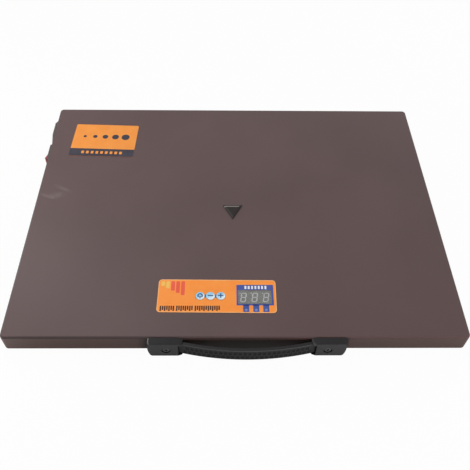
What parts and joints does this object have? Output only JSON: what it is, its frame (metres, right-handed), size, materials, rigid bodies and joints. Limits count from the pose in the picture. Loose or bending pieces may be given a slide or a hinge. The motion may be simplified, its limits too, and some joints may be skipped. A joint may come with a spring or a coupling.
{
  "type": "chicken coop heater",
  "caption": "Flat radiant heating panel for a chicken coop: folded metal casing with a carry strap, keys and display on the face, and a mains inlet and rocker switch on one side",
  "frame": {"origin": "middle of the rear face", "axes": "X along the handle edge, Y away from the handle, Z out of the heated face"},
  "size_m": [0.5067, 0.3897, 0.0268],
  "materials": {
    "casing_paint": "brown powder coat, satin",
    "rear_paint": "brown powder coat, satin",
    "badge_black": "black moulding, semi-gloss",
    "label_film": "printed film, two tones, satin",
    "overlay_film": "printed film, satin",
    "grip_plastic": "soft moulding with tread dimples",
    "cap_plastic": "fine moulded grain",
    "key_blue": "glossy light blue moulding",
    "window_smoke": "tinted clear film",
    "display_black": "grey face, matt",
    "segment_milk": "milky unlit bars",
    "lamp_blue": "tinted clear lamp body",
    "rocker_red": "glossy red moulding",
    "fitting_grey": "warm grey moulding",
    "steel": "zinc plated",
    "screw_black": "black passivated steel",
    "spring_steel": "blued strip",
    "contact_brass": "plated brass",
    "board_green": "solder mask",
    "component_black": "moulded cases",
    "fuse_glass": "clear tube",
    "terminal_green": "terminal moulding",
    "heater_board": "mica sheet",
    "heater_track": "etched resistance foil",
    "foil": "bright foil",
    "insulation": "pressed mineral fibre",
    "wire_brown": "insulated wire",
    "wire_blue": "insulated wire",
    "wire_earth": "insulated wire",
    "wire_white": "heat-proof wire"
  },
  "bodies": {
    "casing": {"front_shell": "casing_paint", "rear_cover": "rear_paint", "rear_cover_screws": "steel", "arrow_badge": "badge_black", "corner_label": "label_film", "control_overlay": "overlay_film", "handle_cap_left": "cap_plastic", "handle_cap_right": "cap_plastic", "handle_screws": "screw_black", "handle_nuts": "steel", "tact_switches": "component_black", "display_window": "window_smoke", "display_module": "display_black", "display_segments": "segment_milk", "indicator_leds": "lamp_blue", "control_board": "board_green", "board_standoffs": "contact_brass", "board_screws": "steel", "power_relay": "component_black", "transformer": "component_black", "capacitors": "component_black", "controller_chip": "component_black", "fuse": "fuse_glass", "fuse_clips": "contact_brass", "mains_terminal_block": "terminal_green", "heater_terminal_block": "terminal_green", "probe_connector": "wire_white", "heating_board": "heater_board", "heating_track": "heater_track", "heater_tabs": "contact_brass", "reflector_foil": "foil", "insulation_board": "insulation", "thermal_cutout": "component_black", "temperature_probe": "steel", "probe_clip": "steel", "mains_inlet": "fitting_grey", "inlet_pins": "contact_brass", "inlet_screws": "steel", "inlet_nuts": "steel", "rocker_housing": "fitting_grey", "rocker_terminals": "contact_brass", "earth_lug": "contact_brass", "earth_nut": "steel", "live_wire": "wire_brown", "switched_live_wire": "wire_brown", "neutral_wire": "wire_blue", "earth_wire": "wire_earth", "heater_wire_left": "wire_white", "cutout_wire": "wire_white", "heater_wire_right": "wire_white", "probe_wire": "wire_white"},
    "strap": {"handle_grip": "grip_plastic", "handle_core": "spring_steel"},
    "rocker": {"power_rocker": "rocker_red"},
    "key_power": {"button_power": "key_blue", "plunger_power": "component_black"},
    "key_minus": {"button_minus": "key_blue", "plunger_minus": "component_black"},
    "key_plus": {"button_plus": "key_blue", "plunger_plus": "component_black"}
  },
  "joints": [
    {"name": "strap_pull", "type": "slide", "parent": "casing", "child": "strap", "axis": [0, -1, 0], "range_m": [0, 0.015], "stiffness_N_per_m": 1500, "deforming": ["handle_grip", "handle_core"]},
    {"name": "rocker_tip", "type": "hinge", "parent": "casing", "child": "rocker", "pos_m": [-0.2485, 0.1025, 0.0125], "axis": [0, 0, 1], "range_deg": [0, 20]},
    {"name": "key_power_press", "type": "slide", "parent": "casing", "child": "key_power", "axis": [0, 0, -1], "range_m": [0, 0.0004], "stiffness_N_per_m": 3000},
    {"name": "key_minus_press", "type": "slide", "parent": "casing", "child": "key_minus", "axis": [0, 0, -1], "range_m": [0, 0.0004], "stiffness_N_per_m": 3000},
    {"name": "key_plus_press", "type": "slide", "parent": "casing", "child": "key_plus", "axis": [0, 0, -1], "range_m": [0, 0.0004], "stiffness_N_per_m": 3000}
  ]
}
